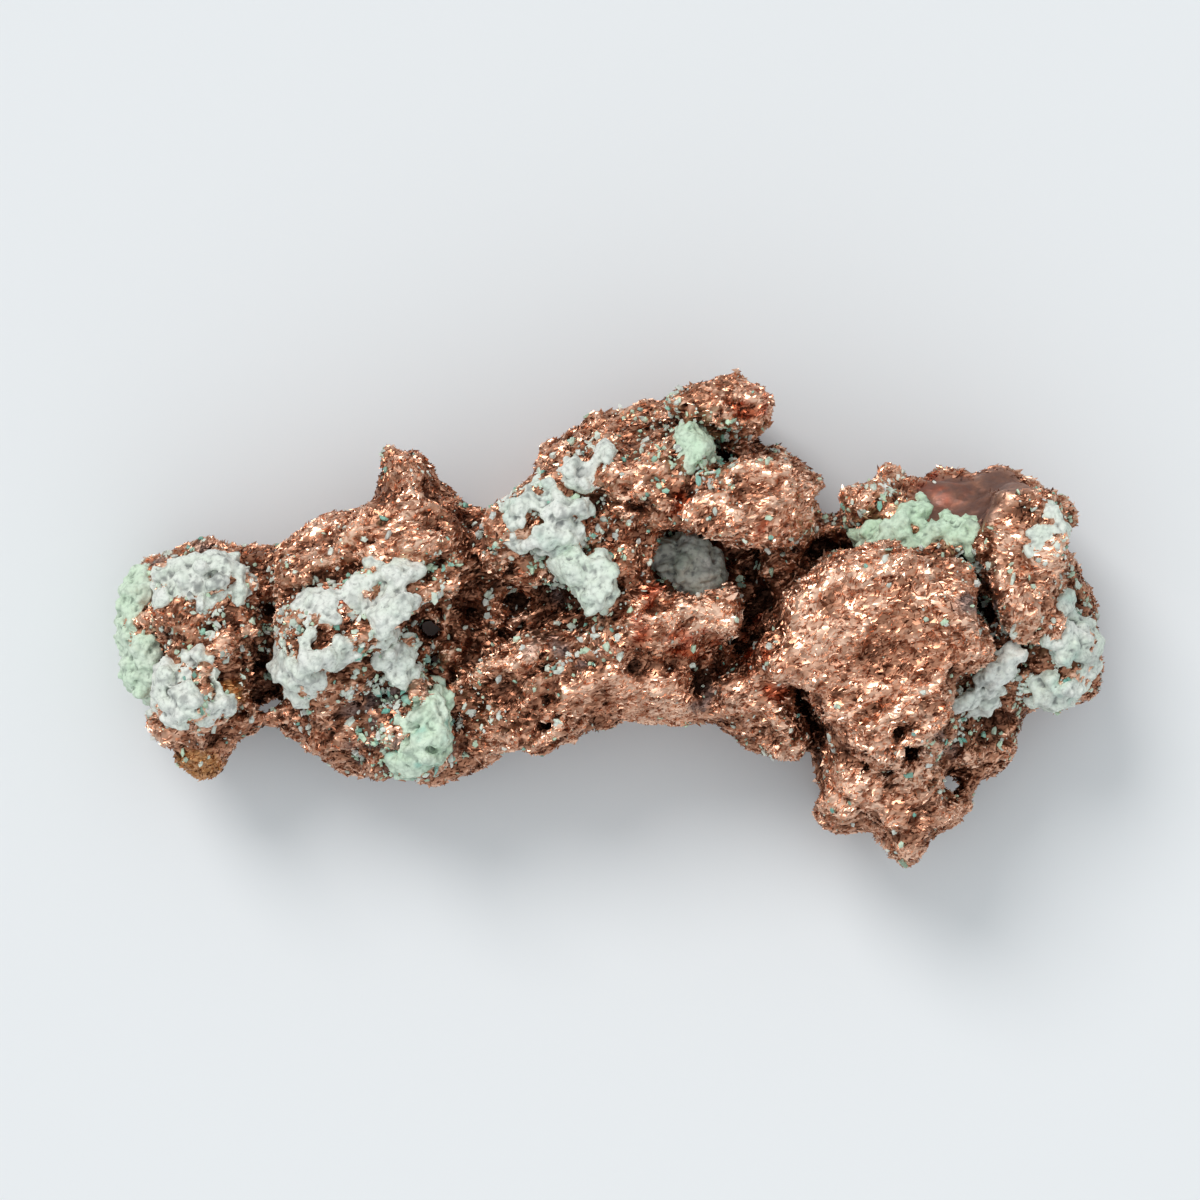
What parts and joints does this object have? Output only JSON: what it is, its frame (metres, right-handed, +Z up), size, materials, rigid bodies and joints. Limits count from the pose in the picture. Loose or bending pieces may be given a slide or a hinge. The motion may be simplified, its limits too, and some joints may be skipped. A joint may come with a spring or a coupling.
{
  "type": "native copper nugget",
  "caption": "Lying nugget of hackly native copper with ledges, pits, a dark cavity and small through-holes, with pale mint and grey-white granular mineral crusts grown on its upper side.",
  "frame": {"origin": "middle of the footprint, on the surface that the nugget lies on", "axes": "+X along the nugget's length, towards its broad plated end; +Z up, its shortest way, from the surface that it lies on"},
  "size_m": [0.0802, 0.0402, 0.0225],
  "materials": {
    "copper": "native copper, hackly and glinting, brown to black in its hollows",
    "pale_crust": "matt granular white to grey mineral crust with a green tinge",
    "green_crust": "matt powdery mint-green mineral crust"
  },
  "bodies": {
    "root": {"copper": "copper", "left_end_crust": "green_crust", "left_top_crust": "pale_crust", "left_low_crust": "pale_crust", "shoulder_crust": "pale_crust", "belly_crust": "green_crust", "slit_crust": "pale_crust", "saddle_crust": "pale_crust", "tongue_crust": "pale_crust", "ledge_crust": "pale_crust", "crest_crust": "green_crust", "cavity_crust": "pale_crust", "bridge_crust": "green_crust", "shoulder_face_crust": "pale_crust", "plate_edge_crust": "pale_crust", "right_end_crust": "pale_crust"}
  },
  "joints": []
}
